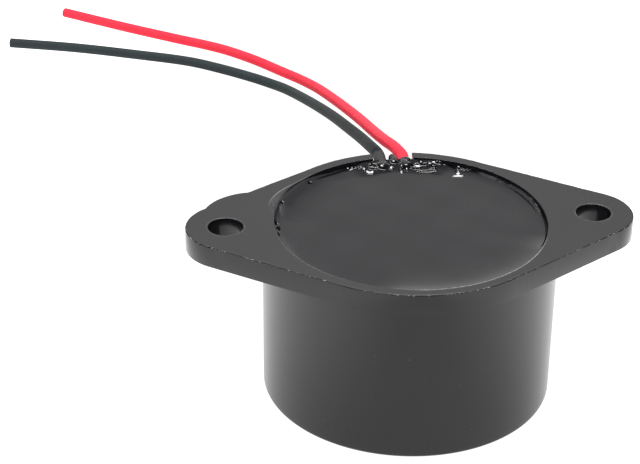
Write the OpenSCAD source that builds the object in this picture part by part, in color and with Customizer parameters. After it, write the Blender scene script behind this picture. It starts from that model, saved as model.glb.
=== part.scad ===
// Self-drive piezo buzzer in a round case with two mounting ears.
// It stands on its front face, so the potted back and the two lead exits are at the top.
// The origin is the centre of the front face. +X runs along the ears, +Y towards the leads, +Z to the back.

/* [Case] */
// Outer diameter of the case at its back rim
body_d = 30; // [28:0.5:36]
// Height of the case from front face to back rim
body_h = 18.8; // [17:0.1:24]
// Taper of the case radius from back to front
body_draft = 0.1; // [0:0.05:0.3]
// Radius on the outer edge of the front face
front_edge_r = 0.4; // [0.1:0.05:0.8]
// Thickness of the front wall
front_wall = 1.6; // [1:0.1:2]
// Diameter of the sound hole
sound_hole_d = 4; // [2:0.5:8]
// Depth of the sound chamber in front of the disc
chamber_h = 2.4; // [1.5:0.1:2.8]
// Width of the ledge that carries the disc
ledge_w = 1.3; // [0.8:0.1:2]
// Thickness of the wall around the potted back
rim_wall = 1.2; // [0.8:0.1:1.4]

/* [Flange] */
// Thickness of the flange at the back rim
flange_t = 2.3; // [1.5:0.1:4]
// Diameter of the two mounting holes
hole_d = 3.5; // [3:0.1:4.5]
// Distance from the side of the case to a hole's centre
ear_reach = 3.75; // [3.2:0.05:8]
// Width of material beside a mounting hole
ear_wall = 3; // [2:0.1:3.5]
// How far the middle of an ear's round end lies inward of its hole
ear_shift = 0.7; // [0:0.1:1]
// Length of the gate mark on the flange edge
gate_len = 5.6; // [3:0.1:6]
// How far the gate mark stands proud of the edge
gate_h = 0.75; // [0.2:0.05:1]
// Distance of the gate mark from the ear's end of the straight edge
gate_pos = 3; // [3:0.1:6]

/* [Leads] */
// Outer diameter of a lead's insulation
lead_d = 1.3; // [1:0.05:1.5]
// Diameter of a lead's stripped core
core_d = 0.6; // [0.4:0.05:0.7]
// Distance between the two lead exits
lead_pitch = 2.5; // [2.3:0.1:4]
// How far the top of a lead lies below the rim
lead_sink = 0.15; // [0.05:0.05:0.4]
// Extra width of a lead slot over the lead
slot_clearance = 0.5; // [0.2:0.05:0.6]
// Distance from the potting's edge to the point where a lead turns down
lead_bend_inset = 0.5; // [0.3:0.1:1]
// Distance from the potting's edge to a lead's pad
lead_pad_inset = 3.5; // [2.5:0.1:4]
// Length of stripped core above the board
strip_h = 1.6; // [1.2:0.1:2.4]

/* [Potting] */
// How far the potting's surface lies below the rim
potting_drop = 0.6; // [0.3:0.05:1]
// Radius of the resin's climb at the wall
meniscus_r = 0.5; // [0.2:0.05:0.6]
// How far the resin around a lead stays below the rim
collar_drop = 0.1; // [0.05:0.05:0.3]
// Distance that the resin reaches into a lead slot
collar_reach = 0.6; // [0.2:0.1:0.7]

/* [Sounding disc] */
// Thickness of the brass plate
plate_t = 0.25; // [0.15:0.05:0.4]
// Gap between the plate's edge and the case
plate_clearance = 0.1; // [0.05:0.05:0.2]
// Width of bare brass around the ceramic
brass_margin = 3.5; // [3:0.1:5]
// Thickness of the piezo ceramic
ceramic_t = 0.22; // [0.15:0.01:0.3]
// Width of bare ceramic around the electrode
electrode_margin = 0.7; // [0.4:0.1:1.2]
// Thickness of the silver electrodes
electrode_t = 0.05; // [0.02:0.01:0.1]
// Width of the feedback electrode's tongue
tongue_w = 4; // [3:0.1:5]
// Length of the feedback electrode's tongue
tongue_len = 6; // [5:0.1:7]
// Gap between the two electrodes
electrode_gap = 0.6; // [0.3:0.1:1]
// Radius of the bead of adhesive around the plate
bead_r = 1.2; // [0.8:0.1:1.5]

/* [Circuit board] */
// Distance from the disc's ledge to the board's seat
rear_chamber_h = 8; // [7.6:0.1:9]
// Width of the step that carries the board
board_step = 0.4; // [0.3:0.05:0.8]
// Thickness of the board
board_t = 1.2; // [0.8:0.1:1.6]
// Gap between the board's edge and the case
board_clearance = 0.1; // [0.05:0.05:0.25]
// Diameter of the holes in the board
drill_d = 0.9; // [0.8:0.05:1]
// Diameter of a copper pad
pad_d = 2; // [1.7:0.1:2.1]
// Thickness of the copper
copper_t = 0.05; // [0.03:0.01:0.1]
// Height of a solder joint
solder_h = 0.8; // [0.5:0.1:1]
// Diameter of a solder joint at its foot
solder_d = 1.7; // [1.4:0.1:1.7]
// Diameter of a solder joint at its top
solder_tip_d = 0.8; // [0.75:0.05:1]
// Length of a pin above its solder joint
pin_tip = 0.2; // [0.1:0.1:0.4]

/* [Parts on the board] */
// Diameter of the coil's core
coil_d = 8; // [6:0.5:8]
// Height of the coil's core
coil_h = 6; // [5:0.1:6.2]
// Thickness of the core's two end flanges
coil_flange_t = 1; // [0.6:0.1:1.4]
// Diameter of the core's middle post
coil_post_d = 3.2; // [2:0.1:4]
// How far the winding stays inside the core's edge
winding_inset = 0.4; // [0.2:0.1:0.8]
// Distance between the coil's pins
coil_pitch = 5; // [4:0.1:5]
// Diameter of the coil's pins
coil_pin_d = 0.6; // [0.4:0.05:0.7]
// Diameter of the transistor's round back
transistor_d = 4.7; // [4:0.1:5]
// Height of the transistor's body
transistor_h = 4.6; // [4:0.1:4.8]
// Distance of the transistor's flat from its centre
transistor_flat = 1.4; // [1:0.1:1.8]
// Gap between the transistor and the board
transistor_gap = 1.8; // [1.5:0.1:2]
// Distance between the transistor's legs at its body
leg_root_pitch = 1.27; // [1.1:0.01:1.4]
// Distance between the transistor's legs at the board
leg_pitch = 2.54; // [2.3:0.02:2.6]
// Width and thickness of a transistor leg
leg_w = 0.45; // [0.35:0.05:0.5]
// Diameter of a resistor's body
resistor_d = 1.8; // [1.4:0.1:2.2]
// Length of a resistor's body
resistor_len = 3.4; // [2.8:0.1:4.5]
// How far a resistor's ends bulge over its middle
resistor_bulge = 0.2; // [0.1:0.05:0.3]
// Diameter of the diode's body
diode_d = 1.9; // [1.6:0.1:2.4]
// Length of the diode's body
diode_len = 3.8; // [3:0.1:4.5]
// Distance between the holes of a resistor or the diode
axial_pitch = 7.5; // [6.5:0.1:7.6]
// Gap between the case and the coil or the transistor
wall_gap = 0.8; // [0.4:0.1:1]
// Distance from the case to the outer hole of a lying part
hole_room = 1.4; // [1.2:0.1:2]
// Distance from the electrode's edge to the main wire
main_inset = 2; // [1.5:0.1:3]
// Gap between a lying part and the board
lying_gap = 0.3; // [0.1:0.05:0.6]
// Diameter of the thin wires
wire_d = 0.5; // [0.3:0.05:0.6]
// Sideways bend in a wire between disc and board
wire_slack = 0.7; // [0.3:0.1:0.9]
// Diameter of a solder dot on the disc
dot_d = 1.6; // [1.2:0.1:1.8]
// Height of a solder dot on the disc
dot_h = 0.5; // [0.3:0.05:0.6]

/* [Hidden] */
$fn = 96;
// Overshoot that keeps cuts clear of the faces they pass through
over = 1;

// Case, from the outside in
body_r = body_d / 2;
front_r = body_r - body_draft;
pot_r = body_r - rim_wall;
bore_r = pot_r - board_step;
chamber_r = bore_r - ledge_w;
ledge_z = front_wall + chamber_h;
seat_z = ledge_z + rear_chamber_h;

// Flange, with the straight edges that touch both the case and the ears
hole_x = body_r + ear_reach;
ear_x = hole_x - ear_shift;
ear_r = hole_d / 2 + ear_wall;
edge_cos = (body_r - ear_r) / ear_x;
edge_sin = sqrt(1 - edge_cos * edge_cos);
edge_normal = [edge_cos, edge_sin];
edge_along = [-edge_sin, edge_cos];
gate_r = (gate_len * gate_len / 4 + gate_h * gate_h) / (2 * gate_h);

// Leads
lead_x = lead_pitch / 2;
lead_z = body_h - lead_sink - lead_d / 2;
slot_w = lead_d + slot_clearance;
bend_y = pot_r - lead_bend_inset;
lead_pad_y = pot_r - lead_pad_inset;
collar_top = body_h - collar_drop;

// Sounding disc
plate_r = bore_r - plate_clearance;
ceramic_r = plate_r - brass_margin;
electrode_r = ceramic_r - electrode_margin;
plate_top = ledge_z + plate_t;
ceramic_top = plate_top + ceramic_t;
electrode_top = ceramic_top + electrode_t;
bead_inner_r = bore_r - bead_r;

// Board
board_r = pot_r - board_clearance;
board_top = seat_z + board_t;
copper_top = board_top + copper_t;
solder_top = copper_top + solder_h;
pin_top = solder_top + pin_tip;
potting_top = body_h - potting_drop;

// Places of the parts under the board, all set out from the wall of the case
coil_angle = 220;
transistor_angle = -50;
bias_y = -1.5;
base_y = 2;
diode_y = 2.2;
coil_at = (bore_r - wall_gap - coil_d / 2) * [cos(coil_angle), sin(coil_angle)];
transistor_at = (bore_r - wall_gap - transistor_d / 2) * [cos(transistor_angle), sin(transistor_angle)];
function lying_x(y) = sqrt(pow(bore_r - hole_room, 2) - y * y) - axial_pitch / 2;
bias_resistor_at = [lying_x(bias_y), bias_y];
base_resistor_at = [lying_x(base_y), base_y];
diode_at = [-lying_x(diode_y), diode_y];

// Places of the wires between disc and board
main_at = [0, electrode_r - main_inset];
feedback_at = [0, tongue_len / 2 - electrode_r];
ground_at = [-(ceramic_r + bead_inner_r) / 2, 0];

// All holes in the board
lead_pads = [for (side = [-1, 1]) [side * lead_x, lead_pad_y]];
coil_pads = [for (side = [-1, 1]) coil_at + [side * coil_pitch / 2, 0]];
transistor_pads = [for (step = [-1:1]) transistor_at + [step * leg_pitch, 0]];
axial_pads = [
    for (at = [bias_resistor_at, base_resistor_at, diode_at])
        for (side = [-1, 1]) at + [side * axial_pitch / 2, 0]
];
wire_pads = [main_at, feedback_at, ground_at];
pads = concat(lead_pads, coil_pads, transistor_pads, axial_pads, wire_pads);

// Rings of the round tubes: sides, and spacing along a lead and along a thin wire
tube_sides = 8;
lead_step = 3;
wire_step = 1;

// Routes of the two leads, from the case to their free ends
red_route = [
    [1.25, 15, 18],
    [1.25, 15.7, 18],
    [1.09, 16.6, 17.95],
    [0.75, 18.9, 17.5],
    [0.33, 22.8, 16.3],
    [0.04, 29.6, 14],
    [-0.24, 38.6, 11],
    [-0.87, 48.1, 8],
    [-1.8, 57.4, 5.2],
    [-2.97, 65.2, 3],
    [-4.54, 71.1, 1.5],
    [-6.41, 75, 0.8],
    [-10.36, 79.9, 0.7],
    [-14.61, 83.8, 0.7],
    [-21.12, 88, 0.7],
    [-27.73, 92.3, 0.7],
    [-36.1, 98.1, 0.7]
];
black_route = [
    [-1.25, 15, 18],
    [-1.25, 15.7, 18],
    [-1.36, 16.7, 17.95],
    [-1.59, 20.3, 16.9],
    [-1.87, 27.2, 14.6],
    [-2.35, 35, 12],
    [-3.02, 45.4, 8.5],
    [-4.09, 54.7, 5.5],
    [-5.35, 62.7, 3],
    [-6.92, 68.4, 1.5],
    [-8.8, 71.9, 0.8],
    [-10.77, 73.9, 0.7],
    [-14.92, 77.1, 0.7],
    [-19.17, 79.8, 0.7],
    [-25.69, 82.4, 0.7],
    [-34.48, 85.5, 0.7],
    [-43.56, 87.9, 0.7]
];

// A smooth route through points: each stretch is a cubic that keeps the heading at its ends
function unit(v) = v / norm(v);
function heading(p, i) = unit(p[min(i + 1, len(p) - 1)] - p[max(i - 1, 0)]);
function stretch(a, b, out, into, t) =
    let (s = norm(b - a))
    (2 * t * t * t - 3 * t * t + 1) * a + (t * t * t - 2 * t * t + t) * s * out
    + (3 * t * t - 2 * t * t * t) * b + (t * t * t - t * t) * s * into;
function smooth(p, step) = concat(
    [
        for (i = [0:len(p) - 2])
            let (count = max(1, round(norm(p[i + 1] - p[i]) / step)))
            for (k = [0:count - 1])
                stretch(p[i], p[i + 1], heading(p, i), heading(p, i + 1), k / count)
    ],
    [p[len(p) - 1]]
);

// One ring of a tube, square to the route, turned by an axis that the route never follows
function ring(centre, along, off_axis, r) =
    let (across = unit(cross(along, off_axis)), above = cross(across, along))
    [
        for (k = [0:tube_sides - 1])
            let (turn = 360 * (k + 0.5) / tube_sides)
            centre + r * (cos(turn) * across + sin(turn) * above)
    ];

// A closed tube along a route
module tube(route, d, step, off_axis) {
    path = smooth(route, step);
    last = len(path) - 1;
    points = [for (i = [0:last]) each ring(path[i], heading(path, i), off_axis, d / 2)];
    first_cap = [for (k = [0:tube_sides - 1]) k];
    last_cap = [for (k = [tube_sides - 1:-1:0]) last * tube_sides + k];
    walls = [
        for (i = [0:last - 1])
            for (k = [0:tube_sides - 1])
                let (next = (k + 1) % tube_sides)
                [
                    i * tube_sides + next,
                    i * tube_sides + k,
                    (i + 1) * tube_sides + k,
                    (i + 1) * tube_sides + next
                ]
    ];
    polyhedron(points, concat([first_cap], walls, [last_cap]), convexity = 10);
}

// A round rod between two points
module rod(a, b, d) {
    v = b - a;
    translate(a)
        rotate([0, acos(v[2] / norm(v)), atan2(v[1], v[0])])
            cylinder(d = d, h = norm(v));
}

// A bent wire through points, round at its bends
module bent_wire(p, d) {
    for (i = [0:len(p) - 2]) {
        rod(p[i], p[i + 1], d);
    }
    for (i = [1:1:len(p) - 2]) {
        translate(p[i]) sphere(d = d);
    }
}

// The case, its flange and ears

// Half section of the case's outside, with the draft and the front edge's radius
module body_section() {
    corner = [front_r - front_edge_r, front_edge_r];
    polygon([
        [0, 0],
        [corner[0], 0],
        [front_r, corner[1]],
        [body_r, body_h],
        [0, body_h]
    ]);
    translate(corner) circle(r = front_edge_r);
}

// Outline of the flange: case, ears, straight edges and the gate mark
module flange_outline() {
    circle(r = body_r);
    for (side = [0, 1]) {
        mirror([side, 0]) {
            translate([ear_x, 0]) circle(r = ear_r);
            polygon([
                body_r * edge_normal,
                body_r * [edge_cos, -edge_sin],
                [ear_x, 0] + ear_r * [edge_cos, -edge_sin],
                [ear_x, 0] + ear_r * edge_normal
            ]);
        }
    }
    mirror([1, 0])
        translate([ear_x, 0] + (ear_r + gate_h - gate_r) * edge_normal + gate_pos * edge_along)
            circle(r = gate_r);
}

// The stepped space inside the case
module cavity() {
    translate([0, 0, -over]) cylinder(d = sound_hole_d, h = front_wall + 2 * over);
    translate([0, 0, front_wall]) cylinder(r = chamber_r, h = chamber_h + over);
    translate([0, 0, ledge_z]) cylinder(r = bore_r, h = rear_chamber_h + over);
    translate([0, 0, seat_z]) cylinder(r = pot_r, h = body_h - seat_z + over);
}

// A round-bottomed slot through the rim for a lead
module lead_slot(x) {
    from_y = pot_r - over;
    depth = rim_wall + 2 * over;
    translate([x, from_y, lead_z]) rotate([-90, 0, 0]) cylinder(d = slot_w, h = depth);
    translate([x - slot_w / 2, from_y, lead_z]) cube([slot_w, depth, body_h - lead_z + over]);
}

module housing() {
    color([0.17, 0.17, 0.18])
        difference() {
            union() {
                rotate_extrude() body_section();
                translate([0, 0, body_h - flange_t]) linear_extrude(flange_t) flange_outline();
            }
            cavity();
            for (side = [-1, 1]) {
                translate([side * hole_x, 0, body_h - flange_t - over])
                    cylinder(d = hole_d, h = flange_t + 2 * over);
                lead_slot(side * lead_x);
            }
        }
}

// The resin that closes the back

// Half section of the resin, with its climb at the wall
module resin_section() {
    square([pot_r, potting_top - board_top]);
    translate([pot_r - meniscus_r, potting_top - board_top])
        difference() {
            square(meniscus_r);
            translate([0, meniscus_r]) circle(r = meniscus_r);
        }
}

// The sleeve of resin that has crept along a lead into its slot
module lead_collar(x) {
    intersection() {
        lead_run(x, pot_r + collar_reach, slot_w);
        translate([0, 0, board_top]) cylinder(r = body_r, h = collar_top - board_top);
    }
}

module potting() {
    color([0.14, 0.14, 0.15])
        difference() {
            union() {
                translate([0, 0, board_top]) rotate_extrude() resin_section();
                for (side = [-1, 1]) {
                    lead_collar(side * lead_x);
                }
            }
            for (side = [-1, 1]) {
                tail_form(side * lead_x);
                core_form(side * lead_x);
            }
            for (at = pads) {
                translate([at[0], at[1], board_top - over]) cylinder(d = pad_d, h = copper_t + over);
                translate([at[0], at[1], copper_top]) solder_cone();
            }
            coil_pins();
            transistor_legs();
            resistor_wires();
            diode_wires();
            wire_ends();
        }
}

// The two leads

// Run of a lead from a place in its slot down to the end of its insulation
module lead_run(x, from_y, d) {
    bent_wire(
        [
            [x, from_y, lead_z],
            [x, bend_y, lead_z],
            [x, lead_pad_y, board_top + strip_h]
        ],
        d
    );
}

// Insulated end of a lead, from its exit down into the resin
module tail_form(x) {
    lead_run(x, body_r, lead_d);
}

// Stripped core of a lead, from the end of the insulation through the board
module core_form(x) {
    from = board_top + strip_h;
    translate([x, lead_pad_y, seat_z]) cylinder(d = core_d, h = from - seat_z);
}

module red_lead() {
    color([0.9, 0.2, 0.24]) tube(red_route, lead_d, lead_step, [0, 0, 1]);
}

module black_lead() {
    color([0.2, 0.22, 0.21]) tube(black_route, lead_d, lead_step, [0, 0, 1]);
}

module red_tail() {
    color([0.9, 0.2, 0.24])
        difference() {
            tail_form(lead_x);
            core_form(lead_x);
        }
}

module black_tail() {
    color([0.2, 0.22, 0.21])
        difference() {
            tail_form(-lead_x);
            core_form(-lead_x);
        }
}

module lead_cores() {
    color([0.8, 0.78, 0.74])
        for (side = [-1, 1]) {
            core_form(side * lead_x);
        }
}

// The sounding disc

module diaphragm_plate() {
    color([0.8, 0.66, 0.32])
        translate([0, 0, ledge_z]) cylinder(r = plate_r, h = plate_t);
}

module piezo_ceramic() {
    color([0.86, 0.82, 0.74])
        translate([0, 0, plate_top]) cylinder(r = ceramic_r, h = ceramic_t);
}

// Tongue that reaches in from the electrode's edge, grown by a margin
module tongue_outline(margin) {
    width = tongue_w + 2 * margin;
    end_y = tongue_len - tongue_w / 2 - electrode_r;
    translate([0, end_y]) circle(d = width);
    translate([-width / 2, -ceramic_r]) square([width, ceramic_r + end_y]);
}

module main_electrode() {
    color([0.78, 0.78, 0.78])
        translate([0, 0, ceramic_top])
            linear_extrude(electrode_t)
                difference() {
                    circle(r = electrode_r);
                    tongue_outline(electrode_gap);
                }
}

module feedback_electrode() {
    color([0.78, 0.78, 0.78])
        translate([0, 0, ceramic_top])
            linear_extrude(electrode_t)
                intersection() {
                    circle(r = electrode_r);
                    tongue_outline(0);
                }
}

// Bead of adhesive in the corner between plate and case
module disc_adhesive() {
    color([0.85, 0.85, 0.82])
        translate([0, 0, plate_top])
            rotate_extrude()
                intersection() {
                    translate([bore_r, 0]) circle(r = bead_r);
                    translate([bead_inner_r, 0]) square(bead_r);
                }
}

// Foot of each wire on the disc: place and height
function wire_foot(at) = [at[0], at[1], at == ground_at ? plate_top : electrode_top];

module disc_solder() {
    color([0.72, 0.72, 0.74])
        for (at = wire_pads) {
            translate(wire_foot(at)) cylinder(d1 = dot_d, d2 = wire_d, h = dot_h);
        }
}

// Slack wire from a solder dot up through the board
module disc_wire(at) {
    foot = wire_foot(at) + [0, 0, dot_h];
    rise = seat_z - foot[2];
    route = [
        foot,
        foot + [0, 0, rise / 5],
        foot + [0, wire_slack, rise / 2],
        foot + [0, 0, rise * 4 / 5],
        [at[0], at[1], seat_z],
        [at[0], at[1], pin_top]
    ];
    tube(route, wire_d, wire_step, [1, 0, 0]);
}

// The room that the wires' upper ends take above the board
module wire_ends() {
    for (at = wire_pads) {
        translate([at[0], at[1], board_top]) cylinder(d = wire_d, h = pin_top - board_top);
    }
}

module main_wire() {
    color([0.85, 0.25, 0.2]) disc_wire(main_at);
}

module feedback_wire() {
    color([0.9, 0.9, 0.88]) disc_wire(feedback_at);
}

module ground_wire() {
    color([0.16, 0.16, 0.16]) disc_wire(ground_at);
}

// The circuit board and its joints

module circuit_board() {
    color([0.62, 0.44, 0.24])
        difference() {
            translate([0, 0, seat_z]) cylinder(r = board_r, h = board_t);
            for (at = pads) {
                translate([at[0], at[1], seat_z - over]) cylinder(d = drill_d, h = board_t + 2 * over);
            }
        }
}

module board_pads() {
    color([0.78, 0.48, 0.28])
        for (at = pads) {
            translate([at[0], at[1], board_top])
                difference() {
                    cylinder(d = pad_d, h = copper_t);
                    translate([0, 0, -over]) cylinder(d = drill_d, h = copper_t + 2 * over);
                }
        }
}

// One solder joint without its pin
module solder_cone() {
    cylinder(d1 = solder_d, d2 = solder_tip_d, h = solder_h);
}

module board_solder() {
    color([0.72, 0.72, 0.74])
        difference() {
            for (at = pads) {
                translate([at[0], at[1], copper_top]) solder_cone();
            }
            lead_cores();
            coil_pins();
            transistor_legs();
            resistor_wires();
            diode_wires();
            wire_ends();
        }
}

// The coil

module coil_core() {
    color([0.22, 0.21, 0.2])
        difference() {
            translate([coil_at[0], coil_at[1], seat_z - coil_h])
                union() {
                    cylinder(d = coil_d, h = coil_flange_t);
                    cylinder(d = coil_post_d, h = coil_h);
                    translate([0, 0, coil_h - coil_flange_t]) cylinder(d = coil_d, h = coil_flange_t);
                }
            coil_pins();
        }
}

module coil_winding() {
    color([0.72, 0.36, 0.18])
        translate([coil_at[0], coil_at[1], seat_z - coil_h + coil_flange_t])
            difference() {
                cylinder(d = coil_d - 2 * winding_inset, h = coil_h - 2 * coil_flange_t);
                translate([0, 0, -over]) cylinder(d = coil_post_d, h = coil_h + 2 * over);
            }
}

module coil_pins() {
    color([0.75, 0.75, 0.76])
        for (at = coil_pads) {
            translate([at[0], at[1], seat_z - coil_flange_t / 2])
                cylinder(d = coil_pin_d, h = pin_top - seat_z + coil_flange_t / 2);
        }
}

// The transistor

module transistor_body() {
    color([0.12, 0.12, 0.12])
        translate([transistor_at[0], transistor_at[1], seat_z - transistor_gap - transistor_h])
            linear_extrude(transistor_h)
                difference() {
                    circle(d = transistor_d);
                    translate([-transistor_d, transistor_flat]) square(2 * transistor_d);
                }
}

// Outline of one leg that spreads from the body's pitch to the board's
module leg_outline(step) {
    root_x = step * leg_root_pitch;
    foot_x = step * leg_pitch;
    half = leg_w / 2;
    knee_z = transistor_gap / 4;
    ankle_z = transistor_gap * 3 / 4;
    tip_z = transistor_gap + pin_top - seat_z;
    polygon([
        [root_x - half, 0],
        [root_x + half, 0],
        [root_x + half, knee_z],
        [foot_x + half, ankle_z],
        [foot_x + half, tip_z],
        [foot_x - half, tip_z],
        [foot_x - half, ankle_z],
        [root_x - half, knee_z]
    ]);
}

module transistor_legs() {
    color([0.75, 0.75, 0.76])
        translate([transistor_at[0], transistor_at[1] + leg_w / 2, seat_z - transistor_gap])
            rotate([90, 0, 0])
                for (step = [-1:1]) {
                    linear_extrude(leg_w) leg_outline(step);
                }
}

// The resistors and the diode lie under the board

// Height of a lying part's middle
function lying_z(d) = seat_z - lying_gap - d / 2;

// Resistor body with bulged ends
module resistor_form(at) {
    waist_d = resistor_d - 2 * resistor_bulge;
    end_len = resistor_len / 4;
    translate([at[0] - resistor_len / 2, at[1], lying_z(resistor_d)])
        rotate([0, 90, 0]) {
            cylinder(d = waist_d, h = resistor_len);
            for (from = [0, resistor_len - end_len]) {
                translate([0, 0, from]) cylinder(d = resistor_d, h = end_len);
            }
        }
}

// The two wires of a lying part, from its ends through the board
module lying_wires(at, body_len, d) {
    for (side = [-1, 1]) {
        hole_at = at[0] + side * axial_pitch / 2;
        bent_wire(
            [
                [at[0] + side * body_len / 2, at[1], lying_z(d)],
                [hole_at, at[1], lying_z(d)],
                [hole_at, at[1], pin_top]
            ],
            wire_d
        );
    }
}

module bias_resistor() {
    color([0.8, 0.7, 0.52]) resistor_form(bias_resistor_at);
}

module base_resistor() {
    color([0.8, 0.7, 0.52]) resistor_form(base_resistor_at);
}

module resistor_wires() {
    color([0.75, 0.75, 0.76]) {
        lying_wires(bias_resistor_at, resistor_len, resistor_d);
        lying_wires(base_resistor_at, resistor_len, resistor_d);
    }
}

module diode_body() {
    color([0.13, 0.13, 0.14])
        translate([diode_at[0] - diode_len / 2, diode_at[1], lying_z(diode_d)])
            rotate([0, 90, 0])
                cylinder(d = diode_d, h = diode_len);
}

module diode_wires() {
    color([0.75, 0.75, 0.76]) lying_wires(diode_at, diode_len, diode_d);
}

housing();
potting();
red_lead();
black_lead();
red_tail();
black_tail();
lead_cores();
diaphragm_plate();
piezo_ceramic();
main_electrode();
feedback_electrode();
disc_adhesive();
disc_solder();
main_wire();
feedback_wire();
ground_wire();
circuit_board();
board_pads();
board_solder();
coil_core();
coil_winding();
coil_pins();
transistor_body();
transistor_legs();
bias_resistor();
base_resistor();
resistor_wires();
diode_body();
diode_wires();
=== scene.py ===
# %% [markdown]
# # A potted piezo buzzer
# The buzzer is a round black case with two mounting ears. Its back is closed with cast
# resin, and a red and a black lead come out of the resin through two slots in the rim.
# The CAD model already gives every size, so this lesson loads it as a fixed frame and
# dresses it: some solids keep their shape and get a finish, others are replaced by a
# finer piece in the same place.

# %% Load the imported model
import math

import bmesh
import bpy
import numpy as np
from mathutils import Matrix, Vector


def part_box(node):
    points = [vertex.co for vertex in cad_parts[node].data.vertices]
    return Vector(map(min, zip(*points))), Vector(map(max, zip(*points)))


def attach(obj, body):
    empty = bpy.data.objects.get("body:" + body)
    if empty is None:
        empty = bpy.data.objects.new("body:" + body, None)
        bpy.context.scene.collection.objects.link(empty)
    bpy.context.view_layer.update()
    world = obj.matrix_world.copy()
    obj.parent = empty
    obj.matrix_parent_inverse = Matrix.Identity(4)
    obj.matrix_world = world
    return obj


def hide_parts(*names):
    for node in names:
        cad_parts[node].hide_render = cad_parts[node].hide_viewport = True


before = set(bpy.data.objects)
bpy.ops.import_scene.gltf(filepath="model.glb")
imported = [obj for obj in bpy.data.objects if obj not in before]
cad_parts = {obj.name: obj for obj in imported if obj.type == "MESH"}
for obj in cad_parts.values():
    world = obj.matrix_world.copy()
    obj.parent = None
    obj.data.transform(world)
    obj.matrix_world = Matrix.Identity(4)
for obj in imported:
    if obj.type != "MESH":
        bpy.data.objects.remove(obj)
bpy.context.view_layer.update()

MM = 0.001


# %% [markdown]
# ## The camera
# A long lens looks down on the resin from the front, a little to the left. The place and
# the three directions were fitted to the outlines of the case in a 640 by 464 picture, so
# they are given as numbers. A matrix whose columns are right, up and back places the
# camera in one step, which is simpler than three turns in the right order.

# %% Place the camera
camera_place = Vector((-28.9461, -183.9985, 120.8837)) * MM
camera_right = Vector((0.99488526, -0.10039642, 0.01112994))
camera_up = Vector((0.03920161, 0.48530352, 0.8734665))
camera_ahead = Vector((0.09309431, 0.86856264, -0.48675701))
SENSOR_MM, FOCAL_PX, PICTURE_PX = 36.0, 2101.614, 640

lens = bpy.data.cameras.new("photo_camera")
lens.sensor_fit = "HORIZONTAL"
lens.sensor_width = SENSOR_MM
lens.lens = SENSOR_MM * FOCAL_PX / PICTURE_PX
lens.clip_start, lens.clip_end = 0.01, 10.0
camera = bpy.data.objects.new("photo_camera", lens)
columns = [camera_right, camera_up, -camera_ahead, camera_place]
camera.matrix_world = Matrix([[c[row] for c in columns] for row in range(3)] + [[0, 0, 0, 1]])
bpy.context.scene.collection.objects.link(camera)
bpy.context.scene.camera = camera
print("focal length in mm:", round(lens.lens, 2))

# %% [markdown]
# ## Shader sums in plain Python
# Finishes such as moulded plastic are patterns that are added, multiplied and faded. In
# the shader editor each sum is one Math node, so a small class wraps a node's output and
# turns Python's operators into Math nodes. One more method makes any other kind of node.
# Patterns are read in millimetres, because that is how the real grain is measured.

# %% Sums on shader sockets
class Flow:
    """One output socket of a shader node that can be used in Python sums."""

    def __init__(self, tree, socket):
        self.tree, self.socket = tree, socket

    def node(self, kind, settings=None, sockets=None, out=0):
        made = self.tree.nodes.new(kind)
        for key, value in (settings or {}).items():
            if key == "stops":
                while len(made.color_ramp.elements) < len(value):
                    made.color_ramp.elements.new(1.0)
                for element, (place, colour) in zip(made.color_ramp.elements, value):
                    element.position, element.color = place, (*colour, 1.0)
            elif key == "interpolation":
                made.color_ramp.interpolation = value
            else:
                setattr(made, key, value)
        for key, value in (sockets or {}).items():
            if isinstance(value, Flow):
                self.tree.links.new(value.socket, made.inputs[key])
            else:
                made.inputs[key].default_value = value
        return Flow(self.tree, made.outputs[out])

    def part(self, k):
        """One of a vector's three numbers."""
        return self.node("ShaderNodeSeparateXYZ", None, {0: self}, k)

    def maths(self, operation, first, second):
        return self.node("ShaderNodeMath", {"operation": operation}, {0: first, 1: second})

    def __add__(self, other):
        return self.maths("ADD", self, other)

    def __radd__(self, other):
        return self.maths("ADD", other, self)

    def __sub__(self, other):
        return self.maths("SUBTRACT", self, other)

    def __rsub__(self, other):
        return self.maths("SUBTRACT", other, self)

    def __mul__(self, other):
        return self.maths("MULTIPLY", self, other)

    def __rmul__(self, other):
        return self.maths("MULTIPLY", other, self)

    def __pow__(self, other):
        return self.maths("POWER", self, other)


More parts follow.
